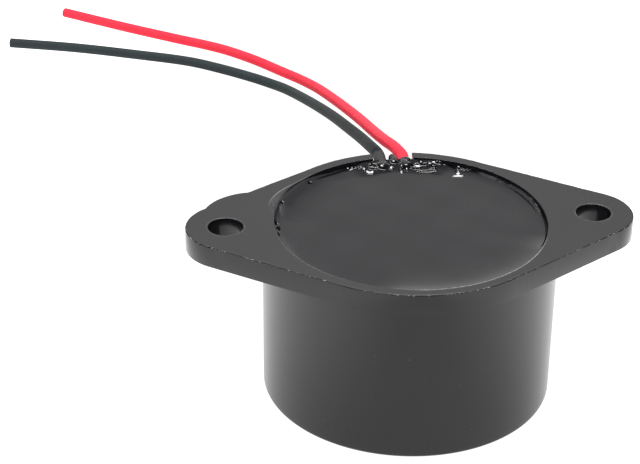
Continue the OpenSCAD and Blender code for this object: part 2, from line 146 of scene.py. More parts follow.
# %% A finish to fill in
class Finish:
    """A new material with its patterns in millimetres on Object coordinates."""

    def __init__(self, name):
        self.material = bpy.data.materials.new(name)
        self.material.use_nodes = True
        self.tree = self.material.node_tree
        self.shader = self.tree.nodes["Principled BSDF"]
        spot = Flow(self.tree, self.tree.nodes.new("ShaderNodeTexCoord").outputs["Object"])
        self.at = spot.node("ShaderNodeVectorMath", {"operation": "SCALE"}, {0: spot, "Scale": 1 / MM})
        self.x, self.y, self.z = (self.at.part(k) for k in range(3))

    def speckle(self, size, detail=2.0, where=None, stretch=(1, 1, 1)):
        """Noise from 0 to 1 with grains of about this size in millimetres."""
        where = where or self.at
        if stretch != (1, 1, 1):
            sockets = {0: where, "Scale": stretch}
            where = where.node("ShaderNodeMapping", {"vector_type": "POINT"}, sockets)
        sockets = {"Vector": where, "Scale": 1 / size, "Detail": detail, "Roughness": 0.55}
        return where.node("ShaderNodeTexNoise", {"noise_dimensions": "3D"}, sockets)

    def fade(self, value, low, high):
        """0 below low, 1 above high, smooth between."""
        sockets = {"Value": value, "From Min": low, "From Max": high}
        return value.node("ShaderNodeMapRange", {"interpolation_type": "SMOOTHSTEP"}, sockets)

    def mix(self, mask, first, second):
        """One colour going over to another as mask goes from 0 to 1."""
        first, second = ((*c, 1.0) if isinstance(c, tuple) else c for c in (first, second))
        return mask.node("ShaderNodeMix", {"data_type": "RGBA"}, {0: mask, 6: first, 7: second}, 2)

    def mark(self, name, out="Fac"):
        """A number or vector that the piece's own mesh carries."""
        return self.at.node("ShaderNodeAttribute", {"attribute_name": name}, None, out)

    def done(self, colour, rough, height=None, depth=0.01, fixed=None):
        """Links colour, roughness and bump, depth being the bump's height in millimetres."""
        for label, value in {"Base Color": colour, "Roughness": rough}.items():
            if isinstance(value, Flow):
                self.tree.links.new(value.socket, self.shader.inputs[label])
            else:
                self.shader.inputs[label].default_value = value
        if height is not None:
            sockets = {"Strength": 1.0, "Distance": depth * MM, "Height": height}
            bump = height.node("ShaderNodeBump", None, sockets)
            self.tree.links.new(bump.socket, self.shader.inputs["Normal"])
        for label, value in (fixed or {}).items():
            self.shader.inputs[label].default_value = value
        return self.material


print("shader sums ready")

# %% [markdown]
# ## Trees that grow pieces
# What repeats or follows a path is grown with Geometry Nodes. Each tree is a group with
# named inputs, run once on a starting mesh. The result is then kept as a plain mesh,
# because instances and live trees are lost when the part is exported.

# %% Helpers for Geometry Nodes
def new_tree(name, inputs):
    """An empty tree with named inputs, and its two end nodes."""
    tree = bpy.data.node_groups.new(name, "GeometryNodeTree")
    tree.interface.new_socket("Geometry", in_out="INPUT", socket_type="NodeSocketGeometry")
    for label, kind in inputs.items():
        tree.interface.new_socket(label, in_out="INPUT", socket_type="NodeSocket" + kind)
    tree.interface.new_socket("Geometry", in_out="OUTPUT", socket_type="NodeSocketGeometry")
    return tree, tree.nodes.new("NodeGroupInput").outputs, tree.nodes.new("NodeGroupOutput").inputs


def step(tree, kind, sockets=None, **settings):
    """One node of a tree: settings first, then its sockets. A node given there means its first output."""
    made = tree.nodes.new(kind)
    for key, value in settings.items():
        setattr(made, key, value)
    for key, value in (sockets or {}).items():
        value = value.outputs[0] if isinstance(value, bpy.types.Node) else value
        if isinstance(value, bpy.types.NodeSocket):
            tree.links.new(value, made.inputs[key])
        else:
            made.inputs[key].default_value = value
    return made


def tree_sum(tree, operation, first, second):
    """One Math node of a tree."""
    return step(tree, "ShaderNodeMath", {0: first, 1: second}, operation=operation)


def finish_tree(tree, geometry, material, ends):
    """Ends a tree with realized geometry and its material."""
    real = step(tree, "GeometryNodeRealizeInstances", {"Geometry": geometry})
    smooth = step(tree, "GeometryNodeSetShadeSmooth", {"Geometry": real})
    dressed = step(tree, "GeometryNodeSetMaterial", {"Geometry": smooth, "Material": material})
    tree.links.new(dressed.outputs[0], ends[0])


def plain_object(name, mesh):
    """A new object at the origin, with its place in its mesh."""
    made = bpy.data.objects.new(name, mesh)
    bpy.context.scene.collection.objects.link(made)
    return made


def grow(name, start_mesh, tree, values):
    """Runs a tree on a mesh and returns the result as a plain mesh object."""
    seed = plain_object(name + "_start", start_mesh)
    modifier = seed.modifiers.new("grow", "NODES")
    modifier.node_group = tree
    for item in tree.interface.items_tree:
        if item.in_out == "INPUT" and item.name in values:
            modifier[item.identifier] = values[item.name]
    graph = bpy.context.evaluated_depsgraph_get()
    mesh = bpy.data.meshes.new_from_object(seed.evaluated_get(graph), depsgraph=graph)
    bpy.data.objects.remove(seed)
    mesh.name = name
    return plain_object(name, mesh)


# %% Helpers for finished pieces
def crisp(piece, degrees):
    """Keeps an edge sharp where its faces turn by more than an angle."""
    piece.data.set_sharp_from_angle(angle=math.radians(degrees))


def dress(piece, material):
    """Gives a piece one material."""
    piece.data.materials.clear()
    piece.data.materials.append(material)


def settle(piece, slot, *nodes):
    """The piece rides on the buzzer and stands for CAD nodes; slot is not used."""
    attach(piece, "root")
    if nodes:
        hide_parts(*nodes)
    print(piece.name, "triangles:", sum(len(p.vertices) - 2 for p in piece.data.polygons))
    return piece


print("helpers for trees and pieces ready")

# %% [markdown]
# ## The two leads
# Each lead is a stranded wire in a soft plastic jacket, about a tenth of a metre long and
# 1.3 mm thick, cut off square at its far end. A curve with a round bevel would do, but a
# tree that sweeps a circle along the route can also store how far along and around each
# point lies, and the jacket's drawn grain needs that. The route is the one of the CAD
# solids: a smooth curve through listed points, level with the slot, down to the table and
# along it.

# %% Routes of the leads, in millimetres
red_route = [
    (1.25, 15, 18), (1.25, 15.7, 18), (1.09, 16.6, 17.95), (0.75, 18.9, 17.5), (0.33, 22.8, 16.3),
    (0.04, 29.6, 14), (-0.24, 38.6, 11), (-0.87, 48.1, 8), (-1.8, 57.4, 5.2), (-2.97, 65.2, 3),
    (-4.54, 71.1, 1.5), (-6.41, 75, 0.8), (-10.36, 79.9, 0.7), (-14.61, 83.8, 0.7), (-21.12, 88, 0.7),
    (-27.73, 92.3, 0.7), (-36.1, 98.1, 0.7),
]
black_route = [
    (-1.25, 15, 18), (-1.25, 15.7, 18), (-1.36, 16.7, 17.95), (-1.59, 20.3, 16.9), (-1.87, 27.2, 14.6),
    (-2.35, 35, 12), (-3.02, 45.4, 8.5), (-4.09, 54.7, 5.5), (-5.35, 62.7, 3), (-6.92, 68.4, 1.5),
    (-8.8, 71.9, 0.8), (-10.77, 73.9, 0.7), (-14.92, 77.1, 0.7), (-19.17, 79.8, 0.7), (-25.69, 82.4, 0.7),
    (-34.48, 85.5, 0.7), (-43.56, 87.9, 0.7),
]
LEAD_D, CUT_EDGE = 1.3, 0.05


def lead_line(route, gap=0.4):
    """Points in metres along the smooth curve through a route, about gap millimetres apart."""
    points = np.array(route, float)
    last = len(points) - 1
    heading = np.array([points[min(i + 1, last)] - points[max(i - 1, 0)] for i in range(last + 1)])
    heading /= np.linalg.norm(heading, axis=1)[:, None]
    line = [points[0]]
    for i in range(last):
        chord = np.linalg.norm(points[i + 1] - points[i])
        start, stop = heading[i] * chord, heading[i + 1] * chord
        for t in np.linspace(0, 1, max(4, round(chord / gap)) + 1)[1:]:
            line.append(
                (2 * t**3 - 3 * t**2 + 1) * points[i] + (t**3 - 2 * t**2 + t) * start
                + (3 * t**2 - 2 * t**3) * points[i + 1] + (t**3 - t**2) * stop
            )
    return np.array(line) * MM


def run_length(line):
    """Length of a line of points."""
    return float(np.linalg.norm(np.diff(line, axis=0), axis=1).sum())


red_line, black_line = lead_line(red_route), lead_line(black_route)
print("lead lengths in mm:", [round(run_length(line) / MM, 1) for line in (red_line, black_line)])

# %% [markdown]
# ### Soft jackets
# The jackets are soft plastic that was drawn through a die, so faint streaks run along them,
# with marks from handling. The black one has painted shade near the case, where less light
# from the table reaches it, and a pale smear of resin where it leaves its slot. Noise on
# Object coordinates alone would cut across a bent lead, so the streaks are read along and around it instead.

# %% Jacket finishes
SHADED, SMEARED = (0.006, 0.008, 0.008), (0.1, 0.092, 0.092)
SMEAR_END, SHADE_FADES_FROM, SHADE_FADES_TO = (1.3, 2.0), 14, 62


def jacket_finish(name, pale, deep, shine, dark, smear):
    """Soft drawn plastic: streaks along the lead, handling marks, painted shade and a resin smear near the
    case.
    """
    skin = Finish(name)
    drawn = skin.mark("drawn", "Vector")
    along = drawn.part(2)
    streaks = skin.speckle(0.5, 2.0, drawn, (1.6, 1.6, 0.25))
    marks = skin.speckle(2.2, 3.0)
    scuffs = skin.fade(skin.speckle(0.6, 3.0), 0.62, 0.75)
    coat = (1 - skin.fade(along + 1.6 * skin.speckle(0.5, 3.0), *SMEAR_END)) * smear
    colour = skin.mix(0.6 * marks + 0.4 * streaks, deep, pale)
    # Painted shade: the lead is made darker near the case, where less light from the table reaches it.
    unshaded = skin.fade(along, SHADE_FADES_FROM, SHADE_FADES_TO)
    colour = skin.mix((1 - unshaded) * dark, colour, SHADED)
    colour = skin.mix(coat, colour, SMEARED)
    rough = 0.46 + 0.14 * marks + 0.1 * scuffs + 0.1 * coat
    height = 0.5 * streaks + 0.5 * skin.speckle(0.12, 2.0) + coat * skin.speckle(0.3, 2.0)
    return skin.done(colour, rough, height, depth=0.012, fixed={"Specular IOR Level": shine})


red_jacket = jacket_finish(
    "red_lead_jacket", pale=(0.9, 0.05, 0.08), deep=(0.82, 0.038, 0.066),
    shine=0.025, dark=0.0, smear=0.0,
)
black_jacket = jacket_finish(
    "black_lead_jacket", pale=(0.041, 0.05, 0.052), deep=(0.029, 0.037, 0.038),
    shine=0.035, dark=0.8, smear=0.45,
)
print("jackets:", red_jacket.name, black_jacket.name)

# %% [markdown]
# ### Growing the leads
# The tree turns a route into a curve, keeps the length along it and the place around the
# ring, and sweeps the ring along the curve. A small bevel then softens the cut ends, because
# soft plastic isn't left with a sharp edge by the cutters.

# %% Tree that sweeps a jacket along a route
jacket_tree, have, ends = new_tree(
    "lead_jacket", {"Diameter": "Float", "Sides": "Int", "Material": "Material"}
)


def keep(kind, label, curve, value):
    """Stores a value on a curve before it is swept; the node's second output gives it back."""
    made = jacket_tree.nodes.new("GeometryNodeCaptureAttribute")
    made.capture_items.new(kind, label)
    jacket_tree.links.new(curve.outputs[0], made.inputs[0])
    jacket_tree.links.new(value, made.inputs[1])
    return made


run = step(jacket_tree, "GeometryNodeMeshToCurve", {"Mesh": have["Geometry"]})
along = step(jacket_tree, "GeometryNodeSplineParameter")
kept_run = keep("FLOAT", "along", run, along.outputs["Length"])
half = tree_sum(jacket_tree, "MULTIPLY", have["Diameter"], 0.5)
ring = step(jacket_tree, "GeometryNodeCurvePrimitiveCircle", {"Resolution": have["Sides"], "Radius": half})
ring_place = step(jacket_tree, "GeometryNodeInputPosition")
kept_ring = keep("VECTOR", "around", ring, ring_place.outputs[0])
swept = step(
    jacket_tree, "GeometryNodeCurveToMesh", {"Curve": kept_run, "Profile Curve": kept_ring, "Fill Caps": True}
)
around_parts = step(jacket_tree, "ShaderNodeSeparateXYZ", {0: kept_ring.outputs[1]}).outputs
drawn_at = step(
    jacket_tree, "ShaderNodeCombineXYZ", {0: around_parts[0], 1: around_parts[1], 2: kept_run.outputs[1]}
)
drawn_mm = step(jacket_tree, "ShaderNodeVectorMath", {0: drawn_at, "Scale": 1 / MM}, operation="SCALE")
marked = step(
    jacket_tree, "GeometryNodeStoreNamedAttribute", {"Geometry": swept, "Name": "drawn", "Value": drawn_mm},
    data_type="FLOAT_VECTOR", domain="POINT",
)
finish_tree(jacket_tree, marked, have["Material"], ends)
print("jacket tree nodes:", len(jacket_tree.nodes))


# %% Grow the leads
def thread(name, line):
    """A bare line of points as a mesh, for a tree to follow."""
    mesh = bpy.data.meshes.new(name)
    mesh.from_pydata([tuple(p) for p in line], [(i, i + 1) for i in range(len(line) - 1)], [])
    return mesh


def make_lead(name, line, jacket):
    """One lead with a slightly rounded edge at its cut ends."""
    values = {"Diameter": LEAD_D * MM, "Sides": 28, "Material": jacket}
    lead = grow(name, thread(name, line), jacket_tree, values)
    crisp(lead, 50)
    cut = lead.modifiers.new("cut_edge", "BEVEL")
    cut.limit_method, cut.angle_limit = "ANGLE", math.radians(60)
    cut.width, cut.segments = CUT_EDGE * MM, 2
    return lead


red_cord = make_lead("red_lead_jacket", red_line, red_jacket)
black_cord = make_lead("black_lead_jacket", black_line, black_jacket)
settle(red_cord, "red_insulation", "red_lead")
settle(black_cord, "black_insulation", "black_lead")

# %% [markdown]
# ## Strand ends
# At the cut end of each lead the seven tinned strands of its core show, one in the middle
# and six around it. They are a small rule, so a tree puts a round rod on the corners of a
# six-sided ring and on its centre, then turns the bundle along the lead.

# %% Bright metals
def metal_finish(name, colour, dull, rough, size=0.5, depth=0.004, stretch=(1, 1, 1)):
    """Bare metal with duller patches and fine tool or casting marks."""
    skin = Finish(name)
    patches = skin.speckle(size * 3, 3.0)
    marks = skin.speckle(size, 3.0, stretch=stretch)
    tone = skin.mix(skin.fade(patches, 0.35, 0.75), colour, dull)
    return skin.done(tone, rough + 0.18 * patches + 0.08 * marks, marks, depth, {"Metallic": 1.0})


tinned = metal_finish("tinned_wire", (0.72, 0.71, 0.69), (0.5, 0.49, 0.47), rough=0.2, size=0.2)
print("metal:", tinned.name)

# %% Grow the strand ends
STRAND_D, STRAND_LEN, STRAND_IN = 0.2, 0.4, 0.14
strand_tree, have, ends = new_tree(
    "strand_ends",
    {"Strand": "Float", "Reach": "Float", "Tip": "Vector", "Heading": "Vector", "Material": "Material"},
)
six = step(
    strand_tree, "GeometryNodeMeshCircle", {"Vertices": 6, "Radius": have["Strand"]}, fill_type="TRIANGLE_FAN"
)
radius = tree_sum(strand_tree, "MULTIPLY", have["Strand"], 0.49)
rod = step(
    strand_tree, "GeometryNodeMeshCylinder",
    {"Vertices": 12, "Side Segments": 1, "Radius": radius, "Depth": have["Reach"]},
)
bundle = step(strand_tree, "GeometryNodeInstanceOnPoints", {"Points": six, "Instance": rod})
facing = step(strand_tree, "FunctionNodeAlignRotationToVector", {"Vector": have["Heading"]}, axis="Z")
turned = step(
    strand_tree, "GeometryNodeTransform", {"Geometry": bundle, "Translation": have["Tip"], "Rotation": facing}
)
finish_tree(strand_tree, turned, have["Material"], ends)


def make_strands(name, line):
    """The strands that show at the far end of a lead."""
    heading = Vector(line[-1] - line[-2]).normalized()
    values = {
        "Strand": STRAND_D * MM, "Reach": STRAND_LEN * MM, "Tip": Vector(line[-1]) - heading * STRAND_IN * MM,
        "Heading": heading, "Material": tinned,
    }
    strands = grow(name, bpy.data.meshes.new(name), strand_tree, values)
    crisp(strands, 50)
    return settle(strands, "tinned_metal")


red_strands = make_strands("red_lead_strands", red_line)
black_strands = make_strands("black_lead_strands", black_line)

# %% [markdown]
# ## The case
# One moulding in black plastic makes the round body, the flange with its two ears, and the
# stepped space inside. The CAD solid has sharp edges, while a real moulding has small
# rounded ones that catch the light, and its upper edge is rough where flash was trimmed.
# Spinning a profile doesn't work because the flange isn't round, so the case is a stack of
# loops around the axis: each loop asks how far the edge lies in every direction. The two
# flat faces are filled between loops, and the two lead slots are cut at the end.

# %% Outline of the flange, in millimetres
BODY_R, FRONT_R, BODY_H, FLANGE_Z = 15.0, 14.9, 18.8, 16.5
EAR_X, EAR_R, HOLE_X, HOLE_R = 18.05, 4.75, 18.75, 1.75
GATE_X, GATE_Y, GATE_R = -15.523, 1.62, 5.602
POT_R = 13.8
EAR_TURN = math.acos((BODY_R - EAR_R) / EAR_X)


def flange_reach(turn, inset=0.0):
    """Distance from the axis to the flange's edge in one direction."""
    fold = math.atan2(abs(math.sin(turn)), abs(math.cos(turn)))
    ear = EAR_R - inset
    if fold >= EAR_TURN:
        reach = BODY_R - inset
    elif fold >= math.atan2(ear * math.sin(EAR_TURN), EAR_X + ear * math.cos(EAR_TURN)):
        reach = (BODY_R - inset) / math.cos(fold - EAR_TURN)
    else:
        reach = EAR_X * math.cos(fold) + math.sqrt(ear**2 - (EAR_X * math.sin(fold)) ** 2)
    toward = GATE_X * math.cos(turn) + GATE_Y * math.sin(turn)
    room = (GATE_R - inset) ** 2 - (GATE_X**2 + GATE_Y**2 - toward**2)
    if toward > 0 and room > 0:
        reach = max(reach, toward + math.sqrt(room))
    return reach


def directions(gap):
    """Angles once around in radians; gap gives the next step at each place, in degrees."""
    found, degrees = [], 0.0
    while degrees < 360 - 1e-6:
        found.append(math.radians(degrees))
        degrees += gap(degrees)
    return found


turns = directions(lambda place: 0.25 if min(place % 180, 180 - place % 180) < 12 else 0.5)
print("directions:", len(turns), "reach of the ears in mm:", round(flange_reach(0.0), 2))


# %% Uneven values around the axis
def uneven(count, seed, lumps):
    """Smooth random values from 0 to 1 around a circle, with a number of lumps."""
    table = np.random.RandomState(seed).rand(lumps)
    place = np.arange(count) / count * lumps
    low = np.floor(place).astype(int)
    part = place - low
    part = part * part * (3 - 2 * part)
    return table[low % lumps] * (1 - part) + table[(low + 1) % lumps] * part


def swell(turn, middle, width):
    """1 at one direction, falling smoothly to 0 at width degrees to each side."""
    away = abs((math.degrees(turn) - middle + 180) % 360 - 180) / width
    return 0.0 if away >= 1 else (1 - away * away) ** 2


# %% [markdown]
# ### Worn and trimmed edges
# The inner lip is scraped on the left and rounded at the front right, and the outer edge is
# uneven where the flash was trimmed. One bevel would be the same all around, so functions of
# the direction say how wide and how deep the edge is bent there.

# %% Worn lip and trimmed edge, in millimetres
SCRAPED = 160


def rounded_front(turn):
    """1 along the front right of the inner edge, where it is rounded more."""
    return min(1.0, 2.5 * swell(turn, 298, 48))


def lip_width(turn):
    """How far the inner edge reaches outwards where scraping or rounding took it back."""
    scraped = swell(turn, SCRAPED, 25 if math.degrees(turn) < SCRAPED else 14)
    return 0.07 + 0.9 * scraped + 0.06 * rounded_front(turn)


def lip_depth(turn):
    """How far wear brings the inner edge down."""
    return 0.05 + 0.07 * swell(turn, SCRAPED, 22) + 0.28 * swell(turn, 142, 13) + 0.03 * rounded_front(turn)


lip_w, lip_d = (np.array([rule(t) for t in turns]) for rule in (lip_width, lip_depth))
trimmed = 0.06 + 0.05 * uneven(len(turns), seed=3, lumps=60) + 0.05 * uneven(len(turns), seed=5, lumps=400)
print("trimmed edge in mm from", round(trimmed.min(), 3), "to", round(trimmed.max(), 3))


# %% [markdown]
# ### Stacking the case
# The loops run up the bore and over the lip, around the flange's edge, and down the wall to
# the front face and its sound hole. The mounting holes get loops of their own. The slots are
# cut by a Boolean with one closed form, because they cross the loops.

# %% Loops around the axis
def around(radius, height):
    """A loop of points in metres; radius and height are numbers or one value per direction."""
    radius = np.broadcast_to(radius, len(turns))
    height = np.broadcast_to(height, len(turns))
    return [(r * math.cos(t) * MM, r * math.sin(t) * MM, z * MM) for r, z, t in zip(radius, height, turns)]


def flange_loop(inset, height):
    """A loop that follows the flange's edge, moved in by an inset."""
    inset = np.broadcast_to(inset, len(turns))
    return around([flange_reach(t, e) for t, e in zip(turns, inset)], height)


def bend(*degrees):
    """Places on a rounded edge: 1 less the cosine and 1 less the sine of each angle."""
    return [(1 - math.cos(math.radians(d)), 1 - math.sin(math.radians(d))) for d in degrees]


QUARTER = bend(0, 30, 60, 90)
print("places on a rounded edge:", len(QUARTER))

# %% Stack the loops of the case
WALL_R = BODY_R - 0.015
FRONT_EDGE, UNDER_EDGE = 0.4, 0.08
LIP_BAND, EDGE_BAND = 0.08, 0.1
overhang = np.array([flange_reach(t) for t in turns]) - WALL_R
under = np.clip(overhang * 0.5, 0, UNDER_EDGE)
lip = [around(POT_R + lip_w * c, BODY_H - lip_d * s) for c, s in bend(0, 30, 60, 72, 82, 90)]
lip.append(around(POT_R + lip_w + LIP_BAND, BODY_H))
edge = [flange_loop(trimmed + EDGE_BAND, BODY_H)]
edge += [flange_loop(trimmed * c, BODY_H - trimmed * s) for c, s in reversed(QUARTER)]
skirt = [flange_loop(under * c, FLANGE_Z + under * s) for c, s in QUARTER]
wall = [around(FRONT_R + (WALL_R - FRONT_R) * z / FLANGE_Z, z) for z in (FLANGE_Z, 15.9, 12, 8, 4, 1)]
front = [
    around(FRONT_R - FRONT_EDGE + FRONT_EDGE * math.cos(a), FRONT_EDGE - FRONT_EDGE * math.sin(a))
    for a in np.radians(np.arange(0, 91, 11.25))
]
sound_hole = ((10, 0), (6, 0), (2.15, 0), (2.03, 0.04), (2, 0.15), (2, 1.5), (2.1, 1.6))
stepped_bore = ((12.1, 1.6), (12.1, 4), (13.4, 4), (13.4, 12), (POT_R, 12), (POT_R, 17))
sound, inside = ([around(r, z) for r, z in rows] for rows in (sound_hole, stepped_bore))
print("loops:", sum(map(len, (lip, edge, skirt, wall, front, sound, inside))))


# %% Skins over loops
def skin_loops(form, loops):
    """Faces between neighbouring loops; returns the corners of every loop."""
    rows = [[form.verts.new(p) for p in loop] for loop in loops]
    for low, high in zip(rows, rows[1:]):
        for i in range(len(low)):
            j = (i + 1) % len(low)
            form.faces.new((low[i], low[j], high[j], high[i]))
    return rows


def mesh_from(form, name):
    """Turns a finished form into a mesh, with its faces pointing outwards."""
    bmesh.ops.recalc_face_normals(form, faces=form.faces)
    print(name, "faces:", len(form.faces), "open edges:", sum(e.is_boundary for e in form.edges))
    mesh = bpy.data.meshes.new(name)
    form.to_mesh(mesh)
    form.free()
    return mesh


# %% Join the loops and fill the flat faces
HOLE_EDGE, HOLE_HIGHLIGHT_AT, HOLE_BAND = 0.1, 0.16, 0.22
MERGE, SAME_Z = 2e-7, 1e-4
case_form = bmesh.new()
skin_loops(case_form, inside + lip)
skin_loops(case_form, edge + skirt)
skin_loops(case_form, wall + front + sound + inside[:1])
for side in (-1, 1):
    spin = [2 * math.pi * k / 96 for k in range(96)]
    bore = [(HOLE_R + HOLE_BAND, BODY_H), (HOLE_R + HOLE_HIGHLIGHT_AT, BODY_H)]
    bore += [(HOLE_R + HOLE_EDGE * s, BODY_H - HOLE_EDGE * c) for c, s in QUARTER]
    bore += [(HOLE_R + HOLE_EDGE * s, FLANGE_Z + HOLE_EDGE * c) for c, s in reversed(QUARTER)]
    skin_loops(case_form, [
        [((side * HOLE_X + r * math.cos(a)) * MM, r * math.sin(a) * MM, z * MM) for a in spin]
        for r, z in bore
    ])
bmesh.ops.remove_doubles(case_form, verts=case_form.verts, dist=MERGE)
bmesh.ops.scale(case_form, vec=(1 / MM,) * 3, verts=case_form.verts)
for height, up in ((BODY_H, 1), (FLANGE_Z, -1)):
    open_edges = [e for e in case_form.edges if e.is_boundary]
    rims = [e for e in open_edges if all(abs(v.co.z - height) < SAME_Z for v in e.verts)]
    bmesh.ops.triangle_fill(case_form, use_beauty=True, edges=rims, normal=(0, 0, up))
bmesh.ops.scale(case_form, vec=(MM,) * 3, verts=case_form.verts)
case_mesh = mesh_from(case_form, "case_shell")

# %% Slots for the leads
LEAD_X, LEAD_Z, SLOT_R, SLOT_TOP, SLOT_ENDS = 1.25, 18.0, 0.9, 19.5, (13.2, 15.7)
slots = bmesh.new()
tooth = [(-0.34, 18.25), (-0.25, 18.48), (-0.1, 18.6), (0.1, 18.6), (0.25, 18.48), (0.34, 18.25)]
arc = [(SLOT_R * math.cos(a), LEAD_Z + SLOT_R * math.sin(a)) for a in np.radians(np.arange(180, 361, 12))]
profile = [(-LEAD_X - SLOT_R, SLOT_TOP)] + [(x - LEAD_X, z) for x, z in arc] + tooth
profile += [(x + LEAD_X, z) for x, z in arc] + [(LEAD_X + SLOT_R, SLOT_TOP)]
near, far = skin_loops(slots, [[(x * MM, y * MM, z * MM) for x, z in profile] for y in SLOT_ENDS])
slots.faces.new(near)
slots.faces.new(list(reversed(far)))
slot_mesh = mesh_from(slots, "lead_slots")

# %% Cut the slots
rough_case, cutter = plain_object("case_uncut", case_mesh), plain_object("lead_slots", slot_mesh)
cut = rough_case.modifiers.new("slots", "BOOLEAN")
cut.operation, cut.solver, cut.object = "DIFFERENCE", "EXACT", cutter
graph = bpy.context.evaluated_depsgraph_get()
cut_mesh = bpy.data.meshes.new_from_object(rough_case.evaluated_get(graph), depsgraph=graph)
case_shell = plain_object("case_shell", cut_mesh)
bpy.data.objects.remove(rough_case)
bpy.data.objects.remove(cutter)
case_shell.data.shade_smooth()
crisp(case_shell, 42)
even = case_shell.modifiers.new("even_shading", "WEIGHTED_NORMAL")
even.weight, even.keep_sharp = 90, True
print("case corners after the cut:", len(case_shell.data.vertices))

# %% [markdown]
# ### Moulded black plastic
# The mould was spark-eroded, so the plastic has a very fine grain, coarser on the flat
# back of the flange than on the drawn wall. The upper edge was trimmed and shows as a dark
# broken line, which its rounded edge mirrors and painted shade deepens, with pale nicks
# painted as sparks of light. Painting it needs to know where that edge is: every point in the
# middle of a rounded edge gets a mark, and the points on the flat faces beside it get none.
# Four more marks say where painted highlights run along the outer edge of the inner lip,
# scraped on the left and rounded at the front, where the lip is flattened by wear, and where
# painted highlights ring the rims of the mounting holes.

# %% Mark the trimmed edges
def on_bend(gap, drop, size):
    """True for the points in the middle of a rounded edge, not for those on its flat neighbours."""
    return 0.002 < gap < size and 0.002 < drop < size


marks = {"trimmed": [], "scraped": [], "front_rim": [], "beach": [], "worn": []}
for v in case_shell.data.vertices:
    x, y, z = v.co / MM
    turn, reach, drop = math.atan2(y, x) % math.tau, math.hypot(x, y), BODY_H - z
    lip_end = POT_R + lip_width(turn)
    rim = min(math.hypot(x - s * HOLE_X, y) - HOLE_R for s in (-1, 1))
    on_top = drop < 0.01
    at_lip = on_top and abs(reach - lip_end) < 0.02
    on_beach = POT_R - 0.01 < reach < lip_end - 0.02 and drop < 0.2
    # The trimmed mark places painted shade and painted sparks on the trimmed edge.
    marks["trimmed"].append(float(on_bend(flange_reach(turn) - reach, drop, 0.3)))
    # The next two marks place painted highlights along the outer edge of the inner lip.
    marks["scraped"].append(at_lip * max(swell(turn, 150, 17), 0.8 * swell(turn, 138, 10)))
    marks["front_rim"].append(at_lip * max(rounded_front(turn), 0.4 * swell(turn, 212, 38)))
    marks["beach"].append(on_beach * swell(turn, 162, 24))
    # This mark places a painted highlight ring around each mounting hole.
    marks["worn"].append(float(on_top and abs(rim - HOLE_HIGHLIGHT_AT) < 0.01))
for name, values in marks.items():
    case_shell.data.attributes.new(name, "FLOAT", "POINT").data.foreach_set("value", values)
print("points on trimmed edges:", int(sum(marks["trimmed"])))

# %% Case plastic
plastic = Finish("moulded_black_plastic")
grain = plastic.speckle(0.16, 3.0)
cloud = plastic.speckle(5.0, 3.0)
flat_back = plastic.fade(plastic.z, 18.7, 18.79)
cut_edge = plastic.mark("trimmed")
painted_edge_sparks = plastic.fade(plastic.speckle(0.2, 2.0), 0.56, 0.64)
mottle = plastic.fade(plastic.speckle(0.3, 2.0), 0.42, 0.66)
dust = plastic.fade(plastic.speckle(0.3, 1.0), 0.75, 0.8)
scratch = plastic.fade(plastic.speckle(0.25, 2.0, stretch=(1, 1, 0.05)), 0.68, 0.76)
tone = plastic.mix(cloud, (0.0038, 0.0037, 0.0048), (0.0068, 0.0066, 0.0082))
# Painted shade: the trimmed edge gets a darker tone, which deepens the dark line it mirrors.
tone = plastic.mix(cut_edge, tone, (0.0015, 0.0015, 0.0015))
for mask, grey in (
    # Painted highlight: pale nicks along the trimmed edge stand for sparks of light.
    (0.8 * cut_edge * painted_edge_sparks, 0.3),
    # Painted highlight: a pale line along the outer edge of the scraped lip on the left.
    (plastic.mark("scraped") * (0.5 + 0.8 * grain), 0.2),
    # Painted highlight: a pale line along the outer edge of the rounded lip at the front.
    (plastic.mark("front_rim") * (0.5 + 0.6 * mottle), 0.38),
    # Painted highlight: a pale ring around each mounting hole's rim.
    (plastic.mark("worn") * (0.3 + 0.5 * mottle), 0.12),
    (0.45 * plastic.mark("beach") * mottle, 0.06),
    (0.2 * dust, 0.16),
):
    tone = plastic.mix(mask, tone, (grey, grey, grey))
dullness = 0.19 + 0.05 * cloud + 0.2 * flat_back - 0.03 * scratch + 0.2 * cut_edge
relief = grain * (0.16 + 0.84 * flat_back) + 0.12 * scratch
case_black = plastic.done(tone, dullness, relief, 0.006)
dress(case_shell, case_black)
settle(case_shell, "case_plastic", "housing")

# %% [markdown]
# ## Trimmed flash
# Along the front of the flange's upper edge a broken line of tiny plastic crumbs is left
# where the flash was trimmed. They repeat along a path at uneven places and sizes, which is
# a tree: the path is cut into points, some are dropped, and each of the rest gets a crumb.

# %% Tree that scatters crumbs
flash_tree, have, ends = new_tree(
    "edge_flash",
    {"Gap": "Float", "Crumb": "Float", "Dropped": "Float", "Seed": "Int", "Material": "Material"},
)


def chance(kind, **sockets):
    """A random value with the tree's own seed."""
    return step(flash_tree, "FunctionNodeRandomValue", {**sockets, "Seed": have["Seed"]}, data_type=kind)


path = step(flash_tree, "GeometryNodeMeshToCurve", {"Mesh": have["Geometry"]})
places = step(flash_tree, "GeometryNodeCurveToPoints", {"Curve": path, "Length": have["Gap"]}, mode="LENGTH")
toss = chance("BOOLEAN", Probability=have["Dropped"])
left = step(
    flash_tree, "GeometryNodeDeleteGeometry",
    {"Geometry": places.outputs["Points"], "Selection": toss.outputs[3]}, domain="POINT",
)
shift = chance("FLOAT_VECTOR", Min=(-0.00007, -0.00003, -0.00004), Max=(0.00007, 0.00003, 0.00001))
nudged = step(flash_tree, "GeometryNodeSetPosition", {"Geometry": left, "Offset": shift})
crumb = step(flash_tree, "GeometryNodeMeshIcoSphere", {"Radius": have["Crumb"], "Subdivisions": 2})
spin = chance("FLOAT_VECTOR", Max=(6.28, 6.28, 6.28))
size = chance("FLOAT_VECTOR", Min=(0.35, 0.3, 0.3), Max=(1.6, 0.8, 0.8))
